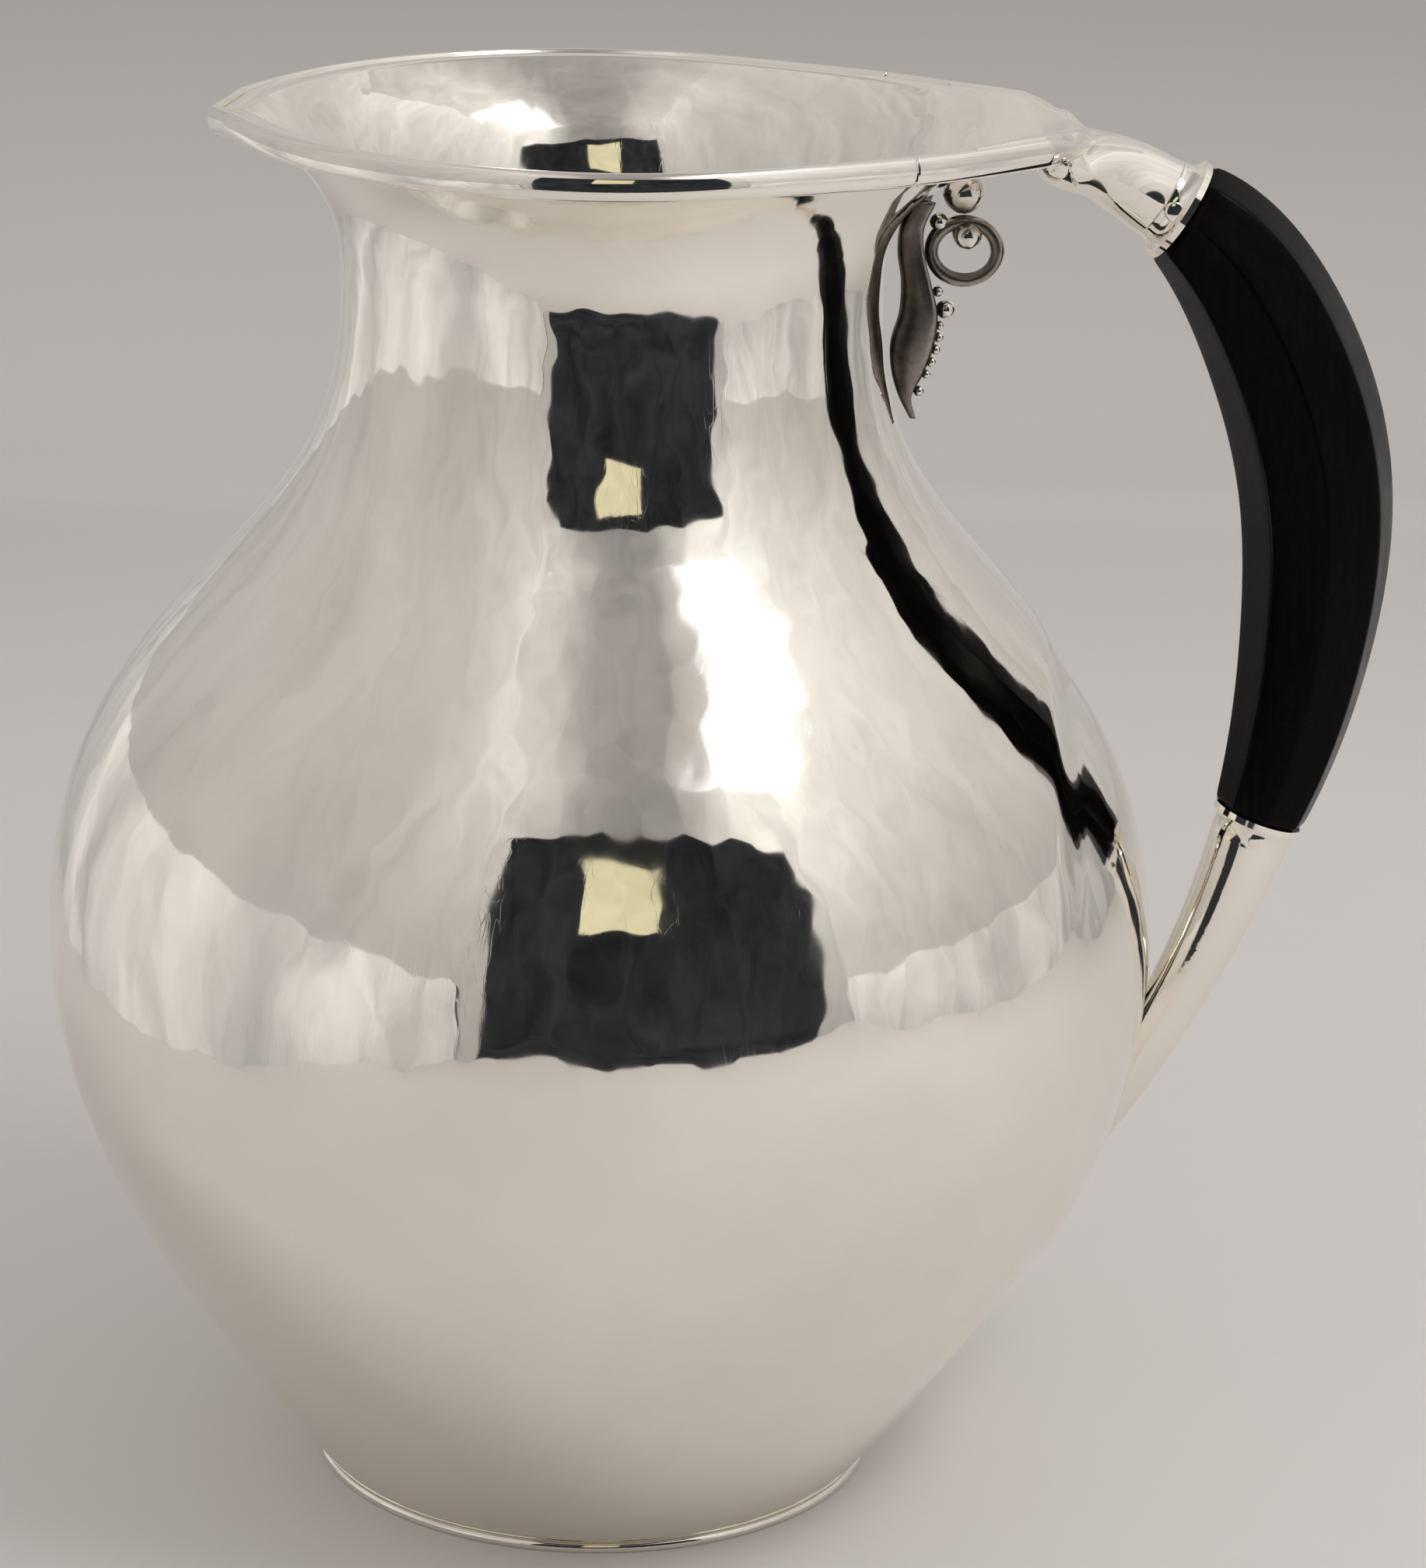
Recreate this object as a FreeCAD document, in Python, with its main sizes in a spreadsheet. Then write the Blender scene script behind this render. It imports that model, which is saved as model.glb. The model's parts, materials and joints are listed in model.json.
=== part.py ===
import FreeCAD, Part
import Sketcher
import math
import os
from FreeCAD import Placement, Rotation, Vector

# Silver water pitcher: a raised pear-shaped vessel with a flared, pointed mouth, a half-round wire
# round the rim, an ebony handle pinned between two silver sockets, and a leaf with a ring of wire and
# beads under the tail of the mouth.
# The foot stands on z = 0 round the origin, +Z is up, the spout points to -X and the handle to +X.
# The handle, the sockets and the ornament lie on the plane y = 0.

SIZES = {
    # vessel, as radius and height of the points that its outline passes through
    "foot_radius": 43.9, "foot_height": 1.6,
    "lower_radius": 61.1, "lower_height": 25,
    "hip_radius": 78.2, "hip_height": 55,
    "belly_radius": 85.1, "belly_height": 88,
    "shoulder_radius": 79, "shoulder_height": 117,
    "slope_radius": 58.6, "slope_height": 145,
    "throat_radius": 43.9, "throat_height": 166,
    "neck_radius": 40.4, "neck_height": 187,
    "rim_radius": 54.2, "rim_height": 213.6,
    "flare_power": 2.8, "tail_flare": 0.2, "wall": 1.2,
    # plan of the mouth: what the tail, the spout and the hollow cheeks add to the rim's radius
    "tail_reach": 29.5, "tail_angle": 18.5,
    "spout_reach": 6.6, "spout_angle": 10.8,
    "cheek_depth": 2.8, "cheek_place": 59, "cheek_angle": 22.6,
    # falls of the rim at the tip of the spout and along the tail, in degrees, and where they start
    "spout_dip": 16, "spout_dip_start": 55.5, "tail_dip": 12, "tail_dip_start": 62,
    # half-round wire round the rim
    "wire_half_height": 2.1, "wire_depth": 1.3, "wire_fall": 1.7, "wire_end": 42,
    # clearance between a soldered piece and what it sits on
    "seat_gap": 0.03,
    # foot ring
    "ring_outer": 44.4, "ring_inner": 40.6,
    # upper socket and collar
    "waist_x": 81.3, "waist_z": 202, "waist_radius": 6.3,
    "collar_upper_length": 3.8, "collar_upper_hollow": 2.9, "collar_lip": 1,
    # grip
    "grip_top_x": 84.6, "grip_top_z": 200.1, "grip_top_width": 16.1, "grip_top_tilt": 31,
    "grip_bottom_x": 101.5, "grip_bottom_z": 106.2, "grip_bottom_width": 14.4, "grip_bottom_tilt": 18,
    "grip_swell": 8.4, "grip_swell_across": 12.6, "grip_stations": 9,
    "tenon_radius": 4.5, "tenon_length": 10,
    # lower collar and socket
    "collar_lower_length": 4.4, "collar_lower_hollow": 6.1, "socket_radius": 6.2,
    "collar_inset": 0.2,
    # pins
    "pin_radius": 1.1, "pin_head_radius": 1.5, "pin_head_height": 0.4,
    # ornament
    "tendril_x": 52.4, "tendril_z": 193.5, "tendril_half_width": 4.95, "tendril_half_height": 4.45,
    "tendril_wire": 1.05,
}

# Centre line of the grip between its ends, as x and z on the plane y = 0.
GRIP_LINE = [(99.3, 182.3), (107, 158.8), (107.4, 137)]

# Sections of the upper socket from the mouth to the waist: x, z, tilt, half width, half height.
UPPER_SECTIONS = [(57.5, 204.9, 2, 8, 0.7), (64, 206.6, 8, 12.5, 3.4), (69.8, 207.2, 16, 10.8, 4.7),
                  (75.6, 205.2, 25, 7.6, 5.7)]

# Sections of the lower socket from the collar down into the belly: x, z, tilt, half width, half height.
LOWER_SECTIONS = [(94.9, 87.1, 21, 5.6, 5.2), (89.3, 74.6, 26, 5.0, 4.6), (81.4, 60.2, 31, 4.2, 4.0),
                  (73.2, 47.6, 34, 3.2, 3.2)]

# Sections of the leaf from its tip up: height, x of the back, x of the face, half width.
LEAF_SECTIONS = [(167.8, 45.1, 45.9, 0.5), (171.2, 43.3, 45.2, 1.2), (175, 42.1, 46.8, 1.9),
                 (179.5, 41.8, 48.2, 2.5), (184, 42.9, 48.6, 2.8), (189.2, 43.0, 47.4, 2.6),
                 (193, 42.4, 46.4, 2.3), (197, 42.6, 46.1, 2.2), (201.2, 45.4, 47.5, 2.2)]

# Beads of the ornament: x, z and radius, and the heights and radii of those on the leaf's face.
TENDRIL_BEADS = {"top_bead": (52.0, 202.3, 3.15), "ring_bead": (52.7, 196.0, 2.3),
                 "bud_bead": (48.6, 197.6, 1.4)}
LEAF_BEADS = [(187.3, 0.85), (184.6, 1.5), (182.1, 0.7), (180.3, 0.8), (178.4, 0.8), (176.5, 0.8),
              (174.6, 0.75), (172.0, 0.85)]

UP = Vector(0, 0, 1)
ACROSS = Vector(0, 1, 0)


def make_sheet(doc):
    """Keep every driving dimension in a spreadsheet cell with its name as the alias."""
    sheet = doc.addObject("Spreadsheet::Sheet", "sizes")
    for row, (name, value) in enumerate(SIZES.items(), start=1):
        sheet.set(f"A{row}", name)
        sheet.set(f"B{row}", str(value))
        sheet.setAlias(f"B{row}", name)
    doc.recompute()
    return sheet


def add_feature(doc, name, shape):
    """Put a shape worked out with Part's functions into the document."""
    item = doc.addObject("Part::Feature", name)
    item.Shape = shape
    return item


def add_cut(doc, name, base, tools):
    """Cut one object with several others, one after another."""
    result = base
    for number, tool in enumerate(tools, start=1):
        last = number == len(tools)
        cut = doc.addObject("Part::Cut", name if last else f"{name}_step_{number}")
        cut.Base = result
        cut.Tool = tool
        result = cut
    result.Label = name
    return result


def bind(item, **sizes):
    """Bind properties of an object to cells of the sheet, or to sums of them."""
    for prop, formula in sizes.items():
        item.setExpression(prop, formula)


def on_axis(x, z, tilt):
    """Placement whose local X points out of the bend and Z along a line that falls away to +X.

    tilt is the angle of the line below the horizontal, in degrees.
    """
    fall = math.radians(tilt)
    along = Vector(math.cos(fall), 0, -math.sin(fall))
    outward = Vector(math.sin(fall), 0, math.cos(fall))
    return Placement(Vector(x, 0, z), Rotation(outward, ACROSS.negative(), along, "ZXY"))


# ---------------------------------------------------------------- vessel

def vessel_outline(sheet):
    """Spline through the named points of the vessel's side, upright where it reaches the neck."""
    names = ("foot", "lower", "hip", "belly", "shoulder", "slope", "throat", "neck")
    points = [Vector(sheet.get(f"{name}_radius"), 0, sheet.get(f"{name}_height")) for name in names]
    curve = Part.BSplineCurve()
    curve.interpolate(Points=points, InitialTangent=Vector(0.6, 0, 0.8), FinalTangent=UP)
    return curve


def rim_reach(sheet, angle):
    """Radius of the mouth's edge at an angle from the tail, in radians from -pi to pi."""
    turn = abs(angle)
    tail = sheet.tail_reach * math.exp(-turn / math.radians(sheet.tail_angle))
    spout = sheet.spout_reach * math.exp(-(math.pi - turn) / math.radians(sheet.spout_angle))
    past_cheek = (turn - math.radians(sheet.cheek_place)) / math.radians(sheet.cheek_angle)
    return sheet.rim_radius + tail + spout - sheet.cheek_depth * math.exp(-past_cheek ** 2)


def belly_form(sheet):
    """Turned solid as large as the vessel below the neck, which the lower socket is cut by."""
    outline = vessel_outline(sheet)
    low = outline.value(outline.FirstParameter)
    high = outline.value(outline.LastParameter)
    corners = [high, Vector(0, 0, high.z), Vector(0, 0, low.z), low]
    sides = [Part.LineSegment(one, two).toShape() for one, two in zip(corners, corners[1:])]
    face = Part.Face(Part.Wire([outline.toShape()] + sides))
    return face.revolve(Vector(), UP, 360)


def flare(sheet, height):
    """How far the mouth has opened at a height: 0 at the neck and 1 at the rim."""
    rise = (height - sheet.neck_height) / (sheet.rim_height - sheet.neck_height)
    return max(rise, 0) ** sheet.flare_power


def spread(sheet, angle, opening):
    """How far the mouth stands out from the neck; along the tail it opens later and more sharply."""
    late = sheet.tail_flare * math.exp(-abs(angle) / math.radians(sheet.tail_angle))
    return (rim_reach(sheet, angle) - sheet.neck_radius) * opening ** (1 + late)


def section(sheet, radius, height, opening, grow=0.0):
    """Closed level curve round the vessel: a circle below the neck, drawn out to the mouth above."""
    steps = 72
    points = []
    for step in range(steps + 1):
        angle = math.pi * (2 * step / steps - 1)
        reach = radius + grow + spread(sheet, angle, opening)
        points.append(Vector(reach * math.cos(angle), reach * math.sin(angle), height))
    curve = Part.BSplineCurve()
    curve.interpolate(points)
    return Part.Wire(curve.toShape())


def vessel_form(sheet, inset, start):
    """Solid of the vessel's outside, or of its inside when it is inset by the wall."""
    outline = vessel_outline(sheet)
    first, last = outline.FirstParameter, outline.LastParameter
    body_steps = 15
    mouth_steps = 9
    wires = []
    for step in range(body_steps):
        share = max(step / (body_steps - 1), start)
        here = first + (last - first) * share
        point = outline.value(here)
        slope = outline.tangent(here)[0]
        wires.append(section(sheet, point.x - inset * slope.z, point.z + inset * slope.x, 0))
    for step in range(1, mouth_steps + 1):
        rise = (step / mouth_steps) ** 0.75
        height = sheet.neck_height + (sheet.rim_height - sheet.neck_height) * rise
        opening = flare(sheet, height - inset * rise)
        wires.append(section(sheet, sheet.neck_radius, height, opening, -inset))
    return Part.makeLoft(wires, True, False)


def drop(sheet, x):
    """How far the rim falls at the tip of the spout and along the tail."""
    spout = max(-x - sheet.spout_dip_start, 0) * math.tan(math.radians(sheet.spout_dip))
    tail = max(x - sheet.tail_dip_start, 0) * math.tan(math.radians(sheet.tail_dip))
    return spout + tail


def dip_wedge(sheet, start, reach):
    """Wedge over the rim, from a start on the X axis outward, that makes the rim fall."""
    corners = [Vector(start, 0, sheet.rim_height),
               Vector(start + reach, 0, sheet.rim_height - drop(sheet, start + reach)),
               Vector(start + reach, 0, sheet.rim_height + 1), Vector(start, 0, sheet.rim_height + 1)]
    face = Part.Face(Part.makePolygon(corners + corners[:1]))
    face.translate(ACROSS * -sheet.rim_radius)
    return face.extrude(ACROSS * 2 * sheet.rim_radius)


def rim_point(sheet, angle):
    """Point of the mouth's edge at an angle, where the flare meets the falling rim."""
    height = sheet.rim_height
    for _ in range(24):
        reach = sheet.neck_radius + spread(sheet, angle, flare(sheet, height))
        height = (height + sheet.rim_height - drop(sheet, reach * math.cos(angle))) / 2
    return Vector(reach * math.cos(angle), reach * math.sin(angle), height)


# ---------------------------------------------------------------- rim wire

def wire_section(sheet, angle, taper=1.0):
    """Half oval across the rim wire, in the upright plane that is square to the mouth's edge."""
    step = 0.004
    edge = rim_point(sheet, angle)
    if angle > math.pi - step:
        outward = Vector(-1, 0, 0)
    else:
        run = rim_point(sheet, angle - step) - rim_point(sheet, angle + step)
        outward = UP.cross(Vector(run.x, run.y, 0)).normalize()
    centre = edge + outward * sheet.seat_gap - UP * sheet.wire_fall
    top = centre + UP * sheet.wire_half_height * taper
    bottom = centre - UP * sheet.wire_half_height * taper
    crest = centre + outward * sheet.wire_depth * taper
    return Part.Wire([Part.Arc(top, crest, bottom).toShape(), Part.LineSegment(bottom, top).toShape()])


def wire_run(sheet, start, end, steps, taper_start=1.0):
    """One side of the rim wire between two angles, and its mirror image."""
    wires = []
    for step in range(steps + 1):
        share = step / steps
        taper = taper_start + (1 - taper_start) * min(share * 2, 1)
        wires.append(wire_section(sheet, start + (end - start) * share, taper))
    side = Part.makeLoft(wires, True, False)
    return side.fuse(side.mirror(Vector(), ACROSS))


def angle_at(sheet, x):
    """Angle from the tail at which the mouth's edge reaches a given x."""
    low, high = 0.0, math.pi
    for _ in range(40):
        middle = (low + high) / 2
        if rim_point(sheet, middle).x > x:
            low = middle
        else:
            high = middle
    return low


# ---------------------------------------------------------------- sockets and collars

def oval(placement, half_width, half_height):
    """Ellipse on a section plane: half_height in the handle's plane, half_width across it."""
    if half_width >= half_height:
        shape = Part.Ellipse(Vector(0, half_width, 0), Vector(half_height, 0, 0), Vector()).toShape()
    else:
        shape = Part.Ellipse(Vector(half_height, 0, 0), Vector(0, half_width, 0), Vector()).toShape()
    wire = Part.Wire(shape)
    wire.Placement = placement
    return wire


def disc(placement, radius):
    """Circle on a section plane."""
    return oval(placement, radius, radius * 0.9999)


def upper_tube_form(sheet):
    """Tube that grows out of the tail of the mouth."""
    wires = [oval(on_axis(x, z, tilt), wide, high) for x, z, tilt, wide, high in UPPER_SECTIONS]
    wires.append(disc(on_axis(sheet.waist_x, sheet.waist_z, sheet.grip_top_tilt), sheet.waist_radius))
    return Part.makeLoft(wires, True, False)


def lower_socket_form(sheet):
    """Tapering tube from the lower collar into the belly."""
    tilt = 90 + sheet.grip_bottom_tilt
    top = on_axis(sheet.grip_bottom_x, sheet.grip_bottom_z, tilt)
    top.Base = top.multVec(Vector(0, 0, sheet.collar_lower_length))
    wires = [disc(top, sheet.socket_radius)]
    for x, z, lean, wide, high in LOWER_SECTIONS:
        wires.append(oval(on_axis(x, z, 90 + lean), wide, high))
    return Part.makeLoft(wires, True, False)


def add_sketch(doc, name):
    """PartDesign body with an empty sketch on its upright plane."""
    body = doc.addObject("PartDesign::Body", name)
    planes = {item.Role: item for item in body.Origin.OriginFeatures}
    sketch = body.newObject("Sketcher::SketchObject", f"{name}_outline")
    sketch.AttachmentSupport = [(planes["XZ_Plane"], "")]
    sketch.MapMode = "FlatFace"
    return body, sketch


def constrain(sketch, name, formula, *where):
    """Dimension of a sketch, with a name and a formula over the sheet's cells."""
    number = sketch.addConstraint(Sketcher.Constraint(*where))
    sketch.renameConstraint(number, name)
    sketch.setExpression(f"Constraints.{name}", formula)


def join(sketch, *pairs):
    """Make ends of lines and arcs meet."""
    for one, one_end, other, other_end in pairs:
        sketch.addConstraint(Sketcher.Constraint("Coincident", one, one_end, other, other_end))


def turn(body, sketch):
    """Turn a sketch once round its upright axis."""
    turned = body.newObject("PartDesign::Revolution", f"{body.Name}_turned")
    turned.Profile = sketch
    turned.ReferenceAxis = (sketch, ["V_Axis"])
    turned.Angle = 360
    return turned


def add_collar(doc, sheet, name, placement, cells):
    """Flared ring round a tenon, turned from an outline of its wall.

    cells names the sheet's formulas for the start radius, length, end radius and hollow of the flare.
    """
    body, sketch = add_sketch(doc, name)
    start, length, end, hollow = (sheet.evalExpression(formula) for formula in cells)
    bore, lip = sheet.tenon_radius, sheet.collar_lip
    inner_low, inner_high = Vector(bore, 0, 0), Vector(bore, length, 0)
    outer_low, lip_low, lip_high = Vector(start, 0, 0), Vector(end, length - lip, 0), Vector(end, length, 0)
    chord = lip_low - outer_low
    depth = hollow - math.sqrt(hollow ** 2 - (chord.Length / 2) ** 2)
    middle = (outer_low + lip_low) / 2 + Vector(-chord.y, chord.x, 0).normalize() * depth
    sketch.addGeometry(Part.LineSegment(inner_high, inner_low))
    sketch.addGeometry(Part.LineSegment(inner_low, outer_low))
    sketch.addGeometry(Part.Arc(outer_low, middle, lip_low))
    sketch.addGeometry(Part.LineSegment(lip_low, lip_high))
    sketch.addGeometry(Part.LineSegment(lip_high, inner_high))
    low_end = 1 if sketch.getPoint(2, 1).distanceToPoint(outer_low) < 0.01 else 2
    join(sketch, (0, 2, 1, 1), (1, 2, 2, low_end), (2, 3 - low_end, 3, 1), (3, 2, 4, 1), (4, 2, 0, 1))
    for direction, line in (("Vertical", 0), ("Horizontal", 1), ("Vertical", 3), ("Horizontal", 4)):
        sketch.addConstraint(Sketcher.Constraint(direction, line))
    sketch.addConstraint(Sketcher.Constraint("PointOnObject", 1, 1, -1))
    constrain(sketch, "bore", "sizes.tenon_radius", "DistanceX", -1, 1, 1, 1, bore)
    constrain(sketch, "start", cells[0], "DistanceX", -1, 1, 1, 2, start)
    constrain(sketch, "length", cells[1], "DistanceY", -1, 1, 3, 2, length)
    constrain(sketch, "end", cells[2], "DistanceX", -1, 1, 3, 2, end)
    constrain(sketch, "lip", "sizes.collar_lip", "DistanceY", 3, 1, 3, 2, lip)
    constrain(sketch, "hollow", cells[3], "Radius", 2, hollow)
    turn(body, sketch)
    body.Placement = placement
    return body


# ---------------------------------------------------------------- grip

def grip_line(sheet):
    """Centre line of the grip from the upper collar to the lower one."""
    points = [Vector(sheet.grip_top_x, 0, sheet.grip_top_z)]
    points += [Vector(x, 0, z) for x, z in GRIP_LINE]
    points.append(Vector(sheet.grip_bottom_x, 0, sheet.grip_bottom_z))
    start = math.radians(sheet.grip_top_tilt)
    end = math.radians(90 + sheet.grip_bottom_tilt)
    curve = Part.BSplineCurve()
    curve.interpolate(Points=points,
                      InitialTangent=Vector(math.cos(start), 0, -math.sin(start)),
                      FinalTangent=Vector(math.cos(end), 0, -math.sin(end)))
    return curve


def eight_sided(placement, high, wide):
    """Section with one corner out, one in, one on each side and one between each two of them."""
    points = []
    for corner in range(8):
        angle = math.pi / 4 * corner
        points.append(placement.multVec(Vector(high / 2 * math.cos(angle), wide / 2 * math.sin(angle), 0)))
    return Part.makePolygon(points + points[:1])


def add_grip(doc, sheet):
    """Ebony grip: a loft of eight-sided sections along a bent line, with a round tenon at each end."""
    line = grip_line(sheet)
    first, last = line.FirstParameter, line.LastParameter
    count = int(sheet.grip_stations)
    wires = []
    places = []
    for number in range(count):
        share = number / (count - 1)
        here = first + (last - first) * share
        point = line.value(here)
        direction = line.tangent(here)[0]
        tilt = math.degrees(math.atan2(-direction.z, direction.x))
        fullness = math.sin(math.pi * share ** 0.8) ** 0.9
        ends = sheet.grip_top_width + (sheet.grip_bottom_width - sheet.grip_top_width) * share
        place = on_axis(point.x, point.z, tilt)
        places.append(place)
        wires.append(eight_sided(place, ends + sheet.grip_swell * fullness,
                                 ends + sheet.grip_swell_across * fullness))
    loft = add_feature(doc, "grip_form", Part.makeLoft(wires, True, False))
    tenons = []
    for name, place, offset in (("upper", places[0], -1), ("lower", places[-1], 0)):
        tenon = doc.addObject("Part::Cylinder", f"{name}_tenon")
        bind(tenon, Radius="sizes.tenon_radius", Height="sizes.tenon_length")
        start = place.multVec(Vector(0, 0, offset * sheet.tenon_length))
        tenon.Placement = Placement(start, place.Rotation)
        tenons.append(tenon)
    whole = doc.addObject("Part::MultiFuse", "grip_with_tenons")
    whole.Shapes = [loft] + tenons
    return whole, places[0], places[-1], tenons


# ---------------------------------------------------------------- foot, pins and ornament

def add_foot_ring(doc, sheet):
    """Flat wire ring under the base, with a round outer edge."""
    body, sketch = add_sketch(doc, "foot_ring")
    inner, high = sheet.ring_inner, sheet.foot_height
    edge = sheet.ring_outer - high / 2
    sketch.addGeometry(Part.LineSegment(Vector(inner, 0, 0), Vector(edge, 0, 0)))
    sketch.addGeometry(Part.Arc(Vector(edge, 0, 0), Vector(sheet.ring_outer, high / 2, 0),
                                Vector(edge, high, 0)))
    sketch.addGeometry(Part.LineSegment(Vector(edge, high, 0), Vector(inner, high, 0)))
    sketch.addGeometry(Part.LineSegment(Vector(inner, high, 0), Vector(inner, 0, 0)))
    join(sketch, (0, 2, 1, 1), (1, 2, 2, 1), (2, 2, 3, 1), (3, 2, 0, 1))
    for direction, line in (("Horizontal", 0), ("Horizontal", 2), ("Vertical", 3)):
        sketch.addConstraint(Sketcher.Constraint(direction, line))
    sketch.addConstraint(Sketcher.Constraint("PointOnObject", 0, 1, -1))
    for end in (1, 2):
        sketch.addConstraint(Sketcher.Constraint("Vertical", 1, end, 1, 3))
    constrain(sketch, "inner", "sizes.ring_inner", "DistanceX", -1, 1, 0, 1, inner)
    constrain(sketch, "high", "sizes.foot_height", "DistanceY", 3, 2, 3, 1, high)
    constrain(sketch, "edge", "sizes.ring_outer - sizes.foot_height / 2", "DistanceX", -1, 1, 1, 3, edge)
    turn(body, sketch)
    return body


def add_pin(doc, name, place, half_length):
    """Rivet across the handle's plane with a low round head at each end."""
    parts = []
    rivet = doc.addObject("Part::Cylinder", f"{name}_shank")
    bind(rivet, Radius="sizes.pin_radius")
    rivet.Height = 2 * half_length
    along = Rotation(Vector(1, 0, 0), -90)
    rivet.Placement = Placement(place - ACROSS * half_length, along)
    parts.append(rivet)
    for side in (-1, 1):
        head = doc.addObject("Part::Ellipsoid", f"{name}_head_{'front' if side < 0 else 'back'}")
        bind(head, Radius1="sizes.pin_head_height", Radius2="sizes.pin_head_radius",
             Radius3="sizes.pin_head_radius")
        head.Placement = Placement(place + ACROSS * side * half_length, along)
        parts.append(head)
    pin = doc.addObject("Part::MultiFuse", name)
    pin.Shapes = parts
    pin.Label = name
    return pin


def leaf_form():
    """Loft up the leaf of sections with a round back and a slightly hollow face."""
    hollow = 0.2
    wires = []
    for height, back, face, wide in LEAF_SECTIONS:
        front, rear = Vector(face, -wide, height), Vector(face, wide, height)
        round_back = Part.Arc(front, Vector(back, 0, height), rear)
        hollow_face = Part.Arc(rear, Vector(face - hollow, 0, height), front)
        wires.append(Part.Wire([round_back.toShape(), hollow_face.toShape()]))
    return Part.makeLoft(wires, True, False)


def leaf_face(height):
    """x of the leaf's face at a height, between its sections."""
    for low, high in zip(LEAF_SECTIONS, LEAF_SECTIONS[1:]):
        if low[0] <= height <= high[0]:
            share = (height - low[0]) / (high[0] - low[0])
            return low[2] + (high[2] - low[2]) * share
    raise ValueError("height is off the leaf")


def tendril_form(sheet):
    """Ring of round wire, a little wider than high."""
    centre = Vector(sheet.tendril_x, 0, sheet.tendril_z)
    path = Part.Ellipse(centre + Vector(sheet.tendril_half_width, 0, 0),
                        centre + UP * sheet.tendril_half_height, centre).toShape()
    start = path.valueAt(path.FirstParameter)
    profile = Part.Wire(Part.Circle(start, path.tangentAt(path.FirstParameter),
                                    sheet.tendril_wire).toShape())
    return Part.Wire(path).makePipeShell([profile], True, False)


def add_bead(doc, name, x, z, radius):
    """Round bead on the handle's plane."""
    bead = doc.addObject("Part::Sphere", name)
    bead.Radius = radius
    bead.Placement = Placement(Vector(x, 0, z), Rotation())
    bead.Label = name
    return bead


# ---------------------------------------------------------------- assembly

def build():
    doc = FreeCAD.newDocument("silver_pitcher")
    sheet = make_sheet(doc)
    nodes = []

    # forms that other pieces are cut by
    uncut = add_feature(doc, "vessel_uncut", vessel_form(sheet, 0, 0))
    inside = add_feature(doc, "vessel_inside", vessel_form(sheet, sheet.wall, 0.004))
    spout_wedge = add_feature(doc, "spout_wedge", dip_wedge(sheet, -sheet.spout_dip_start, -12))
    tail_wedge = add_feature(doc, "tail_wedge", dip_wedge(sheet, sheet.tail_dip_start, 26))
    outside = add_cut(doc, "vessel_outside", uncut, [spout_wedge, tail_wedge])
    tail_angle = angle_at(sheet, 71)
    wire_angle = angle_at(sheet, sheet.wire_end)
    tube = add_feature(doc, "upper_tube", upper_tube_form(sheet))
    arms = add_feature(doc, "rim_arms", wire_run(sheet, tail_angle, wire_angle, 12, 0.55))
    socket_form = doc.addObject("Part::Fuse", "upper_socket_form")
    socket_form.Base = tube
    socket_form.Tool = arms
    rim_wire = add_feature(doc, "rim_wire", wire_run(sheet, wire_angle, math.pi, 40))

    # grip, collars and pins
    grip, upper_place, lower_place, tenons = add_grip(doc, sheet)
    start = upper_place.multVec(Vector(0, 0, -sheet.collar_upper_length))
    upper_collar = add_collar(doc, sheet, "upper_collar_ring", Placement(start, upper_place.Rotation),
                              ("sizes.waist_radius", "sizes.collar_upper_length",
                               "sizes.grip_top_width / 2", "sizes.collar_upper_hollow"))
    flip = Rotation(Vector(1, 0, 0), 180)
    foot = lower_place.multVec(Vector(0, 0, sheet.collar_lower_length))
    lower_collar = add_collar(doc, sheet, "lower_collar_ring",
                              Placement(foot, lower_place.Rotation.multiply(flip)),
                              ("sizes.socket_radius", "sizes.collar_lower_length",
                               "sizes.grip_bottom_width / 2 - sizes.collar_inset",
                               "sizes.collar_lower_hollow"))
    upper_pin = add_pin(doc, "upper_pin", upper_place.multVec(Vector(0, 0, -2.2)), 6.75)
    lower_pin = add_pin(doc, "lower_pin", lower_place.multVec(Vector(0, 0, 2.6)), 6.35)
    pins = [upper_pin, lower_pin]
    doc.recompute()

    nodes.append(add_cut(doc, "handle_grip", grip, pins))
    nodes.append(add_cut(doc, "upper_collar", upper_collar, [upper_pin]))
    nodes.append(add_cut(doc, "lower_collar", lower_collar, [lower_pin]))
    nodes += pins

    # vessel with its sockets
    nodes.append(add_cut(doc, "vessel", outside, [inside, tube]))
    nodes.append(rim_wire)
    nodes.append(add_cut(doc, "upper_socket", socket_form, [tenons[0]]))
    lower_form = add_feature(doc, "lower_socket_form", lower_socket_form(sheet))
    belly = add_feature(doc, "belly_form", belly_form(sheet))
    nodes.append(add_cut(doc, "lower_socket", lower_form, [belly, tenons[1]]))
    nodes.append(add_foot_ring(doc, sheet))

    # ornament
    nodes.append(add_feature(doc, "leaf", leaf_form()))
    tendril = add_feature(doc, "tendril_ring", tendril_form(sheet))
    nodes.append(tendril)
    for name, (x, z, radius) in TENDRIL_BEADS.items():
        ball = add_bead(doc, f"{name}_ball", x, z, radius)
        nodes.append(add_cut(doc, name, ball, [tendril]))
    for number, (z, radius) in enumerate(LEAF_BEADS, start=1):
        nodes.append(add_bead(doc, f"leaf_bead_{number}", leaf_face(z) + radius, z, radius))
    doc.recompute()
    return doc, nodes


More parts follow.
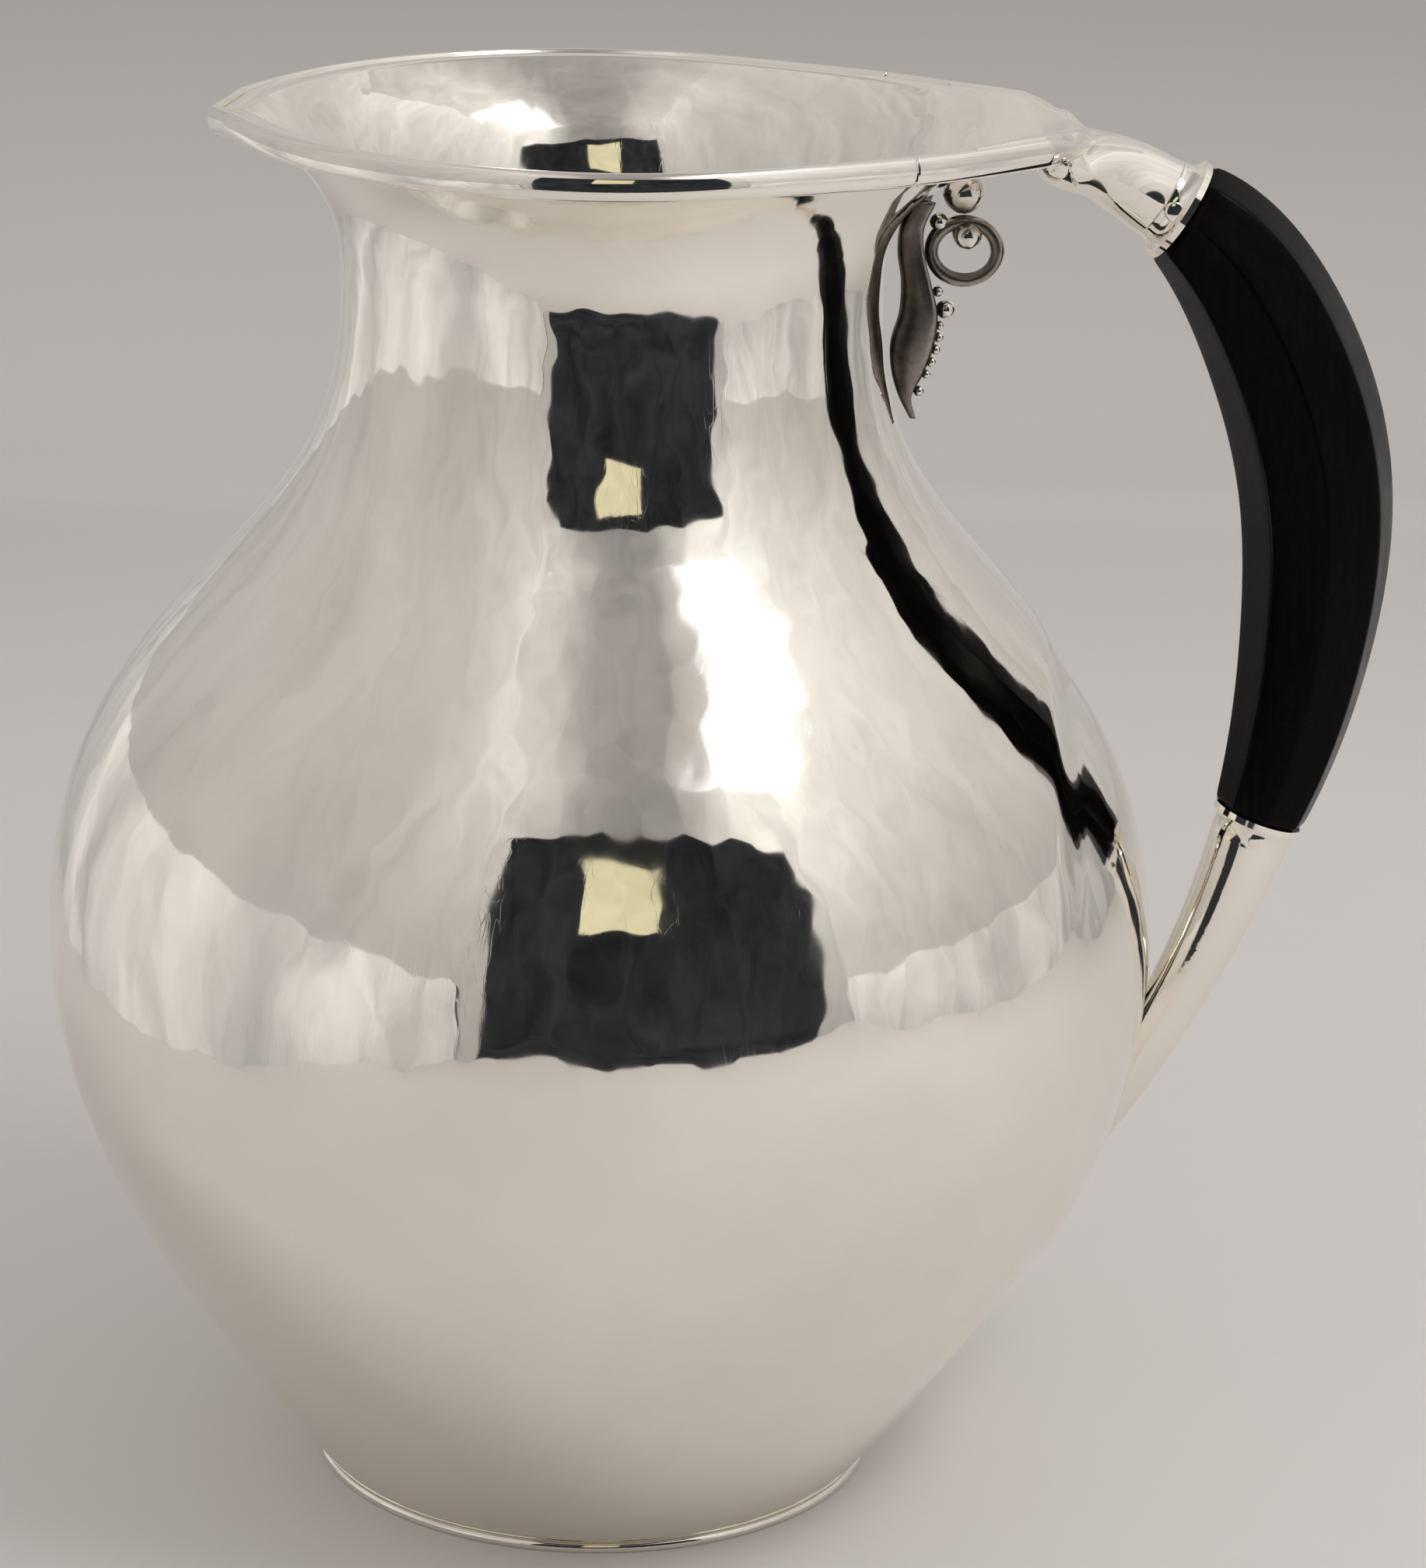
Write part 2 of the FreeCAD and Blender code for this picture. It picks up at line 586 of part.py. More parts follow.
def check_and_write(doc, nodes):
    """Stop on any failed object or bad shape, then write one STEP file for each sub-part."""
    for item in doc.Objects:
        if "Invalid" in item.State or "Error" in item.State:
            raise RuntimeError(f"{item.Name} failed: {item.State}")
    for node in nodes:
        shape = node.Shape
        if shape.isNull() or not shape.isValid() or not shape.Solids:
            raise RuntimeError(f"{node.Label} has no valid solid")
    os.makedirs("parts", exist_ok=True)
    for node in nodes:
        node.Shape.exportStep(os.path.join("parts", f"{node.Label}.step"))
        box = node.Shape.BoundBox
        print(f"{node.Label:16s} solids {len(node.Shape.Solids)} volume {node.Shape.Volume:9.1f} "
              f"x {box.XMin:.1f} {box.XMax:.1f} y {box.YMin:.1f} {box.YMax:.1f} "
              f"z {box.ZMin:.1f} {box.ZMax:.1f}")


document, sub_parts = build()
check_and_write(document, sub_parts)
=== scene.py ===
import json
import math

import bmesh
import bpy
import numpy as np
from mathutils import Matrix, Vector


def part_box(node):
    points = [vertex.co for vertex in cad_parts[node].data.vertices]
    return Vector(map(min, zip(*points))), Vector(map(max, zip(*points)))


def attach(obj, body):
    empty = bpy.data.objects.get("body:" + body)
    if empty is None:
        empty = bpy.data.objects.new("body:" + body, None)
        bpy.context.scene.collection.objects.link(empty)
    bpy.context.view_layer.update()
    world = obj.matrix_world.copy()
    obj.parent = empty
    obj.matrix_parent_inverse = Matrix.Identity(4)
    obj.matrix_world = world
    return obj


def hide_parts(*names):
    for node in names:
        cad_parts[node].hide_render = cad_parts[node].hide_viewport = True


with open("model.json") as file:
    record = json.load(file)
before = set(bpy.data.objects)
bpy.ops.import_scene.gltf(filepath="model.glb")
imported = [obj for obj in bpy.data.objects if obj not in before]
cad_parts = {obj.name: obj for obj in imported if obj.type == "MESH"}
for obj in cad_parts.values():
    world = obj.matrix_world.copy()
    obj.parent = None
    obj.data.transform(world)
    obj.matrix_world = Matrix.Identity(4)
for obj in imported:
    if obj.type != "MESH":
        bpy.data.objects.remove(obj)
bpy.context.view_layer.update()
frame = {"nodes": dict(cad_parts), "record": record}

MM = 0.001
BODY = "root"

# Sizes of the pitcher in millimetres, as in the CAD source.
OUTLINE = [(43.9, 1.6), (61.1, 25), (78.2, 55), (85.1, 88), (79, 117), (58.6, 145), (43.9, 166), (40.4, 187)]
NECK_RADIUS, NECK_HEIGHT = 40.4, 187.0
RIM_RADIUS, RIM_HEIGHT = 54.2, 213.6
FLARE_POWER, TAIL_FLARE, WALL = 2.8, 0.2, 1.2
TAIL_REACH, TAIL_ANGLE = 29.5, math.radians(18.5)
SPOUT_REACH, SPOUT_ANGLE = 6.6, math.radians(10.8)
CHEEK_DEPTH, CHEEK_PLACE, CHEEK_ANGLE = 2.8, math.radians(59), math.radians(22.6)
SPOUT_DIP, SPOUT_DIP_START = math.tan(math.radians(16)), 55.5
TAIL_DIP, TAIL_DIP_START = math.tan(math.radians(12)), 62.0


# ---------------------------------------------------------------- lines and shapes

def hermite(t, gap, start, start_slope, end, end_slope):
    """Cubic between two values with given slopes; t runs from 0 to 1 over the gap."""
    return ((2 * t**3 - 3 * t**2 + 1) * start + (t**3 - 2 * t**2 + t) * gap * start_slope
            + (3 * t**2 - 2 * t**3) * end + (t**3 - t**2) * gap * end_slope)


def clamped_spline(points, start, end):
    """Smooth curve through points, by chord length, with the given directions at its ends."""
    p = np.array(points, float)
    knots = np.r_[0, np.cumsum(np.linalg.norm(np.diff(p, axis=0), axis=1))]
    gaps = np.diff(knots)
    count = len(p)
    system = np.zeros((count, count))
    right = np.zeros_like(p)
    system[0, 0] = system[-1, -1] = 1
    right[0], right[-1] = start, end
    slopes = np.diff(p, axis=0) / gaps[:, None]
    for i in range(1, count - 1):
        system[i, i - 1:i + 2] = gaps[i], 2 * (gaps[i - 1] + gaps[i]), gaps[i - 1]
        right[i] = 3 * (gaps[i] * slopes[i - 1] + gaps[i - 1] * slopes[i])
    tangents = np.linalg.solve(system, right)

    def value(share):
        u = np.atleast_1d(share) * knots[-1]
        i = np.clip(np.searchsorted(knots, u) - 1, 0, count - 2)
        t = ((u - knots[i]) / gaps[i])[:, None]
        gap = gaps[i][:, None]
        return hermite(t, gap, p[i], tangents[i], p[i + 1], tangents[i + 1])

    return value


def rim_reach(angle):
    """Radius of the mouth's edge in plan, by the angle from the tail."""
    turn = np.abs(angle)
    cheek = (turn - CHEEK_PLACE) / CHEEK_ANGLE
    return (RIM_RADIUS + TAIL_REACH * np.exp(-turn / TAIL_ANGLE)
            + SPOUT_REACH * np.exp(-(math.pi - turn) / SPOUT_ANGLE) - CHEEK_DEPTH * np.exp(-cheek**2))


def spread(angle, opening):
    """How far the mouth stands out from the neck."""
    late = TAIL_FLARE * np.exp(-np.abs(angle) / TAIL_ANGLE)
    return (rim_reach(angle) - NECK_RADIUS) * opening ** (1 + late)


def flare(height):
    """0 at the neck and 1 at the rim."""
    return (np.maximum(height - NECK_HEIGHT, 0) / (RIM_HEIGHT - NECK_HEIGHT)) ** FLARE_POWER


def rim_drop(x):
    """How far the rim falls at the tip of the spout and along the tail."""
    return np.maximum(-x - SPOUT_DIP_START, 0) * SPOUT_DIP + np.maximum(x - TAIL_DIP_START, 0) * TAIL_DIP


def smooth_step(value):
    value = np.clip(value, 0, 1)
    return value * value * (3 - 2 * value)


def rim_line(angle):
    """Radius and height of the mouth's edge."""
    height = np.full_like(angle, RIM_HEIGHT)
    for _ in range(24):
        reach = NECK_RADIUS + spread(angle, flare(height))
        height = (height + RIM_HEIGHT - rim_drop(reach * np.cos(angle))) / 2
    return reach, height


def grid_mesh(name, rings, close_start=False, close_end=False):
    """Mesh over rings of equally many points, each ring closed on itself, in millimetres."""
    rings = np.asarray(rings, float)
    rows, columns = rings.shape[:2]
    verts = rings.reshape(-1, 3) * MM
    row, column = np.meshgrid(np.arange(rows - 1), np.arange(columns), indexing="ij")
    ahead = (column + 1) % columns
    faces = np.stack([row * columns + column, row * columns + ahead,
                      (row + 1) * columns + ahead, (row + 1) * columns + column], -1).reshape(-1, 4)
    faces = faces.tolist()
    points = verts.tolist()
    for wanted, base, order in ((close_start, 0, -1), (close_end, (rows - 1) * columns, 1)):
        if wanted:
            centre = len(points)
            points.append(list(np.mean(verts[base:base + columns], axis=0)))
            for c in range(columns):
                a, b = base + c, base + (c + 1) % columns
                faces.append([a, b, centre] if order > 0 else [b, a, centre])
    mesh = bpy.data.meshes.new(name)
    mesh.from_pydata(points, [], faces)
    mesh.update()
    obj = bpy.data.objects.new(name, mesh)
    bpy.context.scene.collection.objects.link(obj)
    mesh.polygons.foreach_set("use_smooth", [True] * len(mesh.polygons))
    return obj


def face_outward(obj, join_points=False):
    """Turn the faces outward, after joining points that coincide where that is wanted."""
    bm = bmesh.new()
    bm.from_mesh(obj.data)
    if join_points:
        bmesh.ops.remove_doubles(bm, verts=bm.verts, dist=1e-7)
    bmesh.ops.recalc_face_normals(bm, faces=bm.faces)
    bm.to_mesh(obj.data)
    bm.free()


# ---------------------------------------------------------------- materials

def new_material(name):
    mat = bpy.data.materials.new(name)
    mat.use_nodes = True
    nodes, links = mat.node_tree.nodes, mat.node_tree.links
    shader = nodes["Principled BSDF"]
    return mat, nodes, links, shader


def place_node(nodes, links, scale=(1, 1, 1)):
    """Object coordinates, stretched."""
    coords = nodes.new("ShaderNodeTexCoord")
    mapping = nodes.new("ShaderNodeMapping")
    mapping.inputs["Scale"].default_value = scale
    links.new(coords.outputs["Object"], mapping.inputs["Vector"])
    return mapping.outputs["Vector"]


def noise_node(nodes, links, vector, scale, detail=2.0, roughness=0.5, distortion=0.0):
    node = nodes.new("ShaderNodeTexNoise")
    node.inputs["Scale"].default_value = scale
    node.inputs["Detail"].default_value = detail
    node.inputs["Roughness"].default_value = roughness
    node.inputs["Distortion"].default_value = distortion
    links.new(vector, node.inputs["Vector"])
    return node.outputs["Fac"]


def ramp_node(nodes, links, factor, stops):
    node = nodes.new("ShaderNodeValToRGB")
    ramp = node.color_ramp
    while len(ramp.elements) < len(stops):
        ramp.elements.new(0.5)
    for element, (at, colour) in zip(ramp.elements, stops):
        element.position = at
        element.color = (*colour, 1) if len(colour) == 3 else colour
    links.new(factor, node.inputs["Fac"])
    return node.outputs["Color"]


def range_node(nodes, links, factor, low, high, to_low, to_high):
    node = nodes.new("ShaderNodeMapRange")
    for key, value in (("From Min", low), ("From Max", high), ("To Min", to_low), ("To Max", to_high)):
        node.inputs[key].default_value = value
    links.new(factor, node.inputs["Value"])
    return node.outputs["Result"]


def bump_node(nodes, links, height, distance, normal=None, strength=1.0):
    node = nodes.new("ShaderNodeBump")
    node.inputs["Distance"].default_value = distance
    node.inputs["Strength"].default_value = strength
    links.new(height, node.inputs["Height"])
    if normal is not None:
        links.new(normal, node.inputs["Normal"])
    return node.outputs["Normal"]


def scratch_lines(nodes, links, turn, scale, seed):
    """Thin broken lines all running one way: 1 on a line and 0 beside it."""
    coords = nodes.new("ShaderNodeTexCoord")
    mapping = nodes.new("ShaderNodeMapping")
    mapping.inputs["Rotation"].default_value = turn
    mapping.inputs["Location"].default_value = (seed, seed * 0.7, -seed)
    mapping.inputs["Scale"].default_value = (scale, scale, scale * 0.035)
    links.new(coords.outputs["Object"], mapping.inputs["Vector"])
    streak = noise_node(nodes, links, mapping.outputs["Vector"], 1.0, 1.5, 0.4, 0.25)
    return ramp_node(nodes, links, streak, [(0.488, (0, 0, 0)), (0.5, (1, 1, 1)), (0.512, (0, 0, 0))])


def silver_material(name, waves=1.0, lines=True):
    """Polished silver: broad hand-raised waves, planishing facets and fine scratches."""
    mat, nodes, links, shader = new_material(name)
    shader.inputs["Metallic"].default_value = 1.0
    plain = place_node(nodes, links)
    upright = place_node(nodes, links, (1, 1, 0.5))
    tone = noise_node(nodes, links, plain, 26, 5, 0.6)
    links.new(ramp_node(nodes, links, tone, [(0.3, (0.885, 0.845, 0.775)), (0.7, (0.955, 0.92, 0.865))]),
              shader.inputs["Base Color"])
    haze = noise_node(nodes, links, plain, 70, 6, 0.7)
    rough = range_node(nodes, links, haze, 0.35, 0.7, 0.025, 0.085)
    broad = noise_node(nodes, links, plain, 34, 1.5, 0.4)
    normal = bump_node(nodes, links, broad, 0.00020 * waves)
    middle = noise_node(nodes, links, upright, 120, 1.0, 0.4, 0.3)
    normal = bump_node(nodes, links, middle, 0.000085 * waves, normal)
    planish = nodes.new("ShaderNodeTexVoronoi")
    planish.feature = "SMOOTH_F1"
    planish.inputs["Scale"].default_value = 190
    planish.inputs["Smoothness"].default_value = 0.25
    links.new(upright, planish.inputs["Vector"])
    normal = bump_node(nodes, links, planish.outputs["Distance"], 0.000075 * waves, normal)
    if lines:
        first = scratch_lines(nodes, links, (0.5, 0.9, 0.2), 420, 0.31)
        second = scratch_lines(nodes, links, (-0.8, 0.3, 1.1), 520, 0.77)
        both = nodes.new("ShaderNodeMath")
        both.operation = "MAXIMUM"
        links.new(first, both.inputs[0])
        links.new(second, both.inputs[1])
        patch = noise_node(nodes, links, plain, 45, 2, 0.5)
        some = nodes.new("ShaderNodeMath")
        some.operation = "MULTIPLY"
        links.new(both.outputs["Value"], some.inputs[0])
        links.new(range_node(nodes, links, patch, 0.5, 0.65, 0, 1), some.inputs[1])
        add = nodes.new("ShaderNodeMath")
        add.operation = "MULTIPLY_ADD"
        add.inputs[1].default_value = 0.07
        links.new(some.outputs["Value"], add.inputs[0])
        links.new(rough, add.inputs[2])
        rough = add.outputs["Value"]
        normal = bump_node(nodes, links, some.outputs["Value"], -0.0000015, normal)
    links.new(rough, shader.inputs["Roughness"])
    links.new(normal, shader.inputs["Normal"])
    return mat


def oxidised_material(name):
    """Darkened silver, rubbed bright where the mesh's "rubbed" value is high."""
    mat, nodes, links, shader = new_material(name)
    shader.inputs["Metallic"].default_value = 1.0
    plain = place_node(nodes, links)
    tone = noise_node(nodes, links, plain, 520, 4, 0.6)
    rubbed = nodes.new("ShaderNodeAttribute")
    rubbed.attribute_name = "rubbed"
    mix = nodes.new("ShaderNodeMath")
    mix.operation = "MULTIPLY_ADD"
    mix.inputs[1].default_value = 0.35
    links.new(tone, mix.inputs[0])
    links.new(rubbed.outputs["Fac"], mix.inputs[2])
    links.new(ramp_node(nodes, links, mix.outputs["Value"],
                        [(0.08, (0.035, 0.030, 0.026)), (0.30, (0.15, 0.132, 0.112)),
                         (0.62, (0.42, 0.39, 0.35)), (0.95, (0.90, 0.87, 0.82))]),
              shader.inputs["Base Color"])
    links.new(range_node(nodes, links, mix.outputs["Value"], 0.1, 0.9, 0.42, 0.10),
              shader.inputs["Roughness"])
    links.new(bump_node(nodes, links, tone, 0.00003), shader.inputs["Normal"])
    return mat


def ebony_material(name):
    """Black, close-grained wood, waxed, with faint long grain and small handling marks."""
    mat, nodes, links, shader = new_material(name)
    grain_space = place_node(nodes, links, (1, 1, 0.05))
    plain = place_node(nodes, links)
    grain = noise_node(nodes, links, grain_space, 1100, 4, 0.6, 0.6)
    links.new(ramp_node(nodes, links, grain, [(0.3, (0.0009, 0.0008, 0.0008)),
                                              (0.62, (0.0026, 0.0022, 0.0019)),
                                              (0.8, (0.006, 0.0048, 0.004))]),
              shader.inputs["Base Color"])
    wear = noise_node(nodes, links, plain, 90, 5, 0.65)
    links.new(range_node(nodes, links, wear, 0.3, 0.7, 0.20, 0.36), shader.inputs["Roughness"])
    normal = bump_node(nodes, links, grain, 0.000012)
    normal = bump_node(nodes, links, wear, 0.00004, normal)
    links.new(normal, shader.inputs["Normal"])
    shader.inputs["Specular IOR Level"].default_value = 0.055
    return mat


silver = silver_material("silver")
silver_calm = silver_material("silver_calm", 0.3, lines=False)
silver_rim = silver_material("silver_rim", 0.15, lines=False)
oxidised = oxidised_material("oxidised_silver")
ebony = ebony_material("ebony")


def paint(obj, mat):
    """Give a piece one material."""
    obj.data.materials.clear()
    obj.data.materials.append(mat)


# ---------------------------------------------------------------- vessel

def vessel_rings():
    """Rings up the outside, over the lip and down the inside."""
    columns = 720
    angle = np.linspace(-math.pi, math.pi, columns, endpoint=False)
    side = clamped_spline(OUTLINE, (0.6, 0.8), (0, 1))(np.linspace(0, 1, 230))
    rings = []
    around = np.stack([np.cos(angle), np.sin(angle)], -1)

    def ring(radius, height):
        radius = np.broadcast_to(radius, angle.shape)
        height = np.broadcast_to(height, angle.shape)
        into_socket = smooth_step((radius * np.cos(angle) - 66) / 5)
        height = height - 2.5 * into_socket
        rings.append(np.concatenate([around * radius[:, None], height[:, None]], -1))

    for share in (0.25, 0.5, 0.75, 0.93):
        ring(side[0][0] * share, side[0][1])
    for radius, height in side:
        ring(radius, height)
    reach, top = rim_line(angle)
    rows = 70
    lip = WALL / 2
    for row in range(1, rows + 1):
        height = NECK_HEIGHT + (top - 0.35 - NECK_HEIGHT) * (row / rows) ** 0.8
        ring(NECK_RADIUS + spread(angle, flare(height)), height)
    # rounded edge
    inner_top = top - 0.25
    inner = NECK_RADIUS - WALL + spread(angle, flare(inner_top - WALL * 0.95))
    outer = NECK_RADIUS + spread(angle, flare(top - 0.35))
    for turn in np.linspace(0.15, 0.85, 6) * math.pi:
        middle, half = (outer + inner) / 2, (outer - inner) / 2
        ring(middle + half * math.cos(turn), top - 0.35 + 0.35 * math.sin(turn))
    for row in range(rows, 0, -1):
        height = NECK_HEIGHT + (inner_top - NECK_HEIGHT) * (row / rows) ** 0.8
        rise = (height - NECK_HEIGHT) / (RIM_HEIGHT - NECK_HEIGHT)
        ring(NECK_RADIUS - WALL + spread(angle, flare(height - WALL * rise)), height)
    slope = np.gradient(side, axis=0)
    slope /= np.linalg.norm(slope, axis=1)[:, None]
    for (radius, height), (across, up) in list(zip(side, slope))[::-2]:
        ring(radius - WALL * up, height + WALL * across)
    floor_radius, floor_height = rings[-1][0, 0:2], rings[-1][0, 2]
    reach = np.hypot(*floor_radius)
    for share in (0.93, 0.75, 0.5, 0.25):
        ring(reach * share, floor_height)
    return rings


def hammer(rings, depth=0.035):
    """Low waves left by the hammer, alike on both faces of the wall."""
    rings = np.asarray(rings, float)
    x, y, z = rings[..., 0], rings[..., 1], rings[..., 2]
    turn = np.arctan2(y, x)
    wave = (np.sin(9 * turn + 0.11 * z + 1.3) * np.sin(0.21 * z + 2 * turn)
            + 0.6 * np.sin(23 * turn - 0.17 * z) * np.sin(0.33 * z - 3 * turn + 0.8)
            + 0.35 * np.sin(41 * turn + 0.29 * z + 2.1) * np.sin(0.55 * z + 5 * turn))
    body = smooth_step((z - 6) / 14) * (1 - smooth_step((z - 192) / 12))
    radius = np.maximum(np.hypot(x, y), 1e-6)
    push = depth * wave * body * smooth_step((radius - 30) / 10)
    return np.stack([x * (1 + push / radius), y * (1 + push / radius), z], -1)


vessel = grid_mesh("vessel_raised", hammer(vessel_rings()), close_start=True, close_end=True)
face_outward(vessel)
paint(vessel, silver)
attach(vessel, BODY)
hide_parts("vessel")

# ---------------------------------------------------------------- rim wire

WIRE_HALF, WIRE_DEPTH, WIRE_FALL = 2.1, 1.3, 1.7
WIRE_ENDS_AT_X, ARM_THINS_AT_X, ARM_ENDS_AT_X = 42.0, 62.0, 71.5


def edge_angle(x):
    """Angle from the tail at which the mouth's edge reaches a given x."""
    angle = np.linspace(0, math.radians(80), 4000)
    reach, _ = rim_line(angle)
    return float(np.interp(-x, -reach * np.cos(angle), angle))


def edge_wire_rings(angle, slim_from=99, slim_to=100):
    """Half-round wire along the mouth's edge; past slim_from it thins away towards slim_to."""
    reach, height = rim_line(np.arctan2(np.sin(angle), np.cos(angle)))
    points = np.stack([reach * np.cos(angle), reach * np.sin(angle)], -1)
    run = np.gradient(points, axis=0)
    outward = np.stack([-run[:, 1], run[:, 0]], -1)
    outward /= np.linalg.norm(outward, axis=1)[:, None]
    outward *= np.sign((outward * points).sum(1))[:, None]
    rings = []
    for point, away, top in zip(points, outward, height):
        thin = 1 - 0.75 * smooth_step((point[0] - slim_from) / (slim_to - slim_from))
        ring = []
        for bend in np.linspace(90, -90, 21):
            across = WIRE_DEPTH * thin * math.cos(math.radians(bend)) ** 0.85
            along = WIRE_HALF * thin * math.sin(math.radians(bend))
            ring.append((*(point + away * across), top - WIRE_FALL + along))
        for inset, along in ((0.25, -WIRE_HALF * 0.97), (0.45, 0), (0.25, WIRE_HALF * 0.93)):
            ring.append((*(point - away * inset), top - WIRE_FALL + along * thin))
        rings.append(ring)
    return rings


wire_end = edge_angle(WIRE_ENDS_AT_X)
rim_wire = grid_mesh("rim_wire_round", edge_wire_rings(np.linspace(wire_end, 2 * math.pi - wire_end, 541)),
                     close_start=True, close_end=True)
face_outward(rim_wire)
paint(rim_wire, silver_rim)
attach(rim_wire, BODY)
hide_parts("rim_wire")

# ---------------------------------------------------------------- upper socket, drawn out of the tail

# Stations of the tube: x, z, tilt in degrees, half width, half height.
TUBE = [(57.5, 204.9, 2, 8, 0.7), (64, 206.6, 8, 12.5, 3.4), (69.8, 207.2, 16, 10.8, 4.7),
        (75.6, 205.2, 25, 7.6, 5.7), (81.3, 202, 31, 6.3, 6.3)]
SHEET_START, TUBE_START, WAIST_X = 51.0, 57.5, 81.3
TUBE_BLEND, EDGE_BLEND, EDGE_WIDTH = 2.4, 0.7, 2.6


def sheet_height(x, y, inner):
    """Height of the tail's sheet over a point in plan: its top where inner is true, else its underside."""
    angle = np.arctan2(y, x)
    radius = np.hypot(x, y)
    late = 1 + TAIL_FLARE * np.exp(-np.abs(angle) / TAIL_ANGLE)
    neck = NECK_RADIUS - WALL if inner else NECK_RADIUS
    opening = (np.maximum(radius - neck, 0.01) / (rim_reach(angle) - NECK_RADIUS)) ** (1 / late)
    rise = opening ** (1 / FLARE_POWER)
    height = NECK_HEIGHT + (RIM_HEIGHT - NECK_HEIGHT) * rise
    return height + WALL * rise if inner else height


def tail_half_width(x):
    """Half the width of the tail in plan at each x."""
    angle = np.linspace(0, math.radians(60), 1500)
    reach, _ = rim_line(angle)
    along, across = reach * np.cos(angle), reach * np.sin(angle)
    order = np.argsort(along)
    return np.interp(x, along[order], across[order])


def smooth_max(one, other, blend):
    """The larger of two heights, rounded where they cross."""
    mix = np.clip(0.5 + 0.5 * (one - other) / blend, 0, 1)
    return other + (one - other) * mix + blend * mix * (1 - mix)


def tail_socket_rings():
    """Closed rings from the flat tail, through its blend with the tube, to the collar."""
    keys = np.array(TUBE, float)
    along = np.r_[0, np.cumsum(np.hypot(np.diff(keys[:, 0]), np.diff(keys[:, 1])))]
    slope = np.gradient(keys, along, axis=0)

    def tube_at(x):
        i = int(np.clip(np.searchsorted(keys[:, 0], x) - 1, 0, len(keys) - 2))
        gap = along[i + 1] - along[i]
        t = np.clip((x - keys[i, 0]) / (keys[i + 1, 0] - keys[i, 0]), 0, 1)
        return hermite(t, gap, keys[i], slope[i], keys[i + 1], slope[i + 1])

    rings = []
    for x in np.linspace(SHEET_START, WAIST_X, 120):
        _, z, tilt, wide, high = tube_at(max(x, TUBE_START))
        tube_there = smooth_step((x - 56) / 8)
        lean = math.radians(tilt)
        tail_wide = float(tail_half_width(x))
        taper = 1 - smooth_step((x - 66) / 9)
        band_out, band_half = 0.3 * taper, 0.7 * taper + 0.01
        reach = max(tail_wide + band_out, wide)
        band_height = RIM_HEIGHT - rim_drop(x) - WIRE_FALL
        centre = band_height * taper + z * (1 - taper)
        y = reach * np.sin(np.linspace(-math.pi / 2, math.pi / 2, 65))
        swell = np.sqrt(np.clip(1 - (y / wide) ** 2, 0, 1))
        outside = np.maximum(np.abs(y) - wide, 0)
        tube_top = z + high * swell - outside * 1.2 - (1 - tube_there) * 8
        lift = 2.2 * (1 - smooth_step((x - 60) / 9))
        tube_low = z - high * swell + outside * 1.2 + (1 - tube_there) * 8 + lift
        hide = -0.08 + 0.22 * smooth_step((x - SHEET_START) / 6)
        gone = 9 * smooth_step((x - 67) / 8)
        inside = np.minimum(np.abs(y), tail_wide - 0.2) * np.sign(y)
        top = sheet_height(x, inside, True) + hide - gone
        low = sheet_height(x, inside, False) - hide + gone
        top = np.where(np.abs(y) > tail_wide - 0.2, band_height - 9, top)
        low = np.where(np.abs(y) > tail_wide - 0.2, band_height + 9, low)
        edge_width = EDGE_WIDTH * taper + 0.01
        near_edge = np.clip((np.abs(y) - (reach - edge_width)) / edge_width, 0, 1)
        band = band_half * np.sqrt(np.clip(1 - near_edge ** 2, 0, 1))
        inner_fall = np.clip((reach - EDGE_WIDTH - np.abs(y)) / 1.2, 0, None)
        band_top = band_height + band - inner_fall ** 2 * 2 - 6 * (1 - taper)
        band_low = band_height - band + inner_fall ** 2 * 2 + 6 * (1 - taper)
        top = smooth_max(smooth_max(top, tube_top, TUBE_BLEND), band_top, EDGE_BLEND)
        low = -smooth_max(smooth_max(-low, -tube_low, TUBE_BLEND), -band_low, EDGE_BLEND)
        edge = np.abs(y) / reach
        pinch = np.sqrt(np.clip(1 - edge ** 8, 0, 1))
        middle = (top + low) / 2
        half = np.maximum((top - low) / 2, 0.05) * pinch * (0 if x == SHEET_START else 1)
        top, low = middle + half, middle - half
        ring = []
        for side_y, height in list(zip(y, top)) + list(zip(y[::-1], low[::-1]))[1:-1]:
            up = height - centre
            ring.append((x + up * math.sin(lean) * (1 - taper), side_y,
                         centre + up * (math.cos(lean) * (1 - taper) + taper)))
        rings.append(ring)
    return rings


tail_socket = grid_mesh("upper_socket_drawn", tail_socket_rings(), close_end=True)
arm_end = edge_angle(ARM_ENDS_AT_X)
arms = []
for side in (-1, 1):
    arm_angles = side * np.linspace(wire_end - 0.002, arm_end, 120)
    arms.append(grid_mesh("arm", edge_wire_rings(arm_angles, ARM_THINS_AT_X, ARM_ENDS_AT_X),
                          close_start=True, close_end=True))
    face_outward(arms[-1])
face_outward(tail_socket, join_points=True)
with bpy.context.temp_override(active_object=tail_socket, selected_editable_objects=[tail_socket] + arms):
    bpy.ops.object.join()
paint(tail_socket, silver_rim)
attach(tail_socket, BODY)
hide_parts("upper_socket")

# ---------------------------------------------------------------- grip

GRIP_TOP, GRIP_BOTTOM = (84.6, 200.1), (101.5, 106.2)
GRIP_MIDDLE = [(99.3, 182.3), (107, 158.8), (107.4, 137)]
GRIP_TOP_TILT, GRIP_BOTTOM_TILT = math.radians(31), math.radians(108)
GRIP_ENDS, GRIP_SWELL, GRIP_SWELL_ACROSS = (16.1, 14.4), 8.4, 12.6


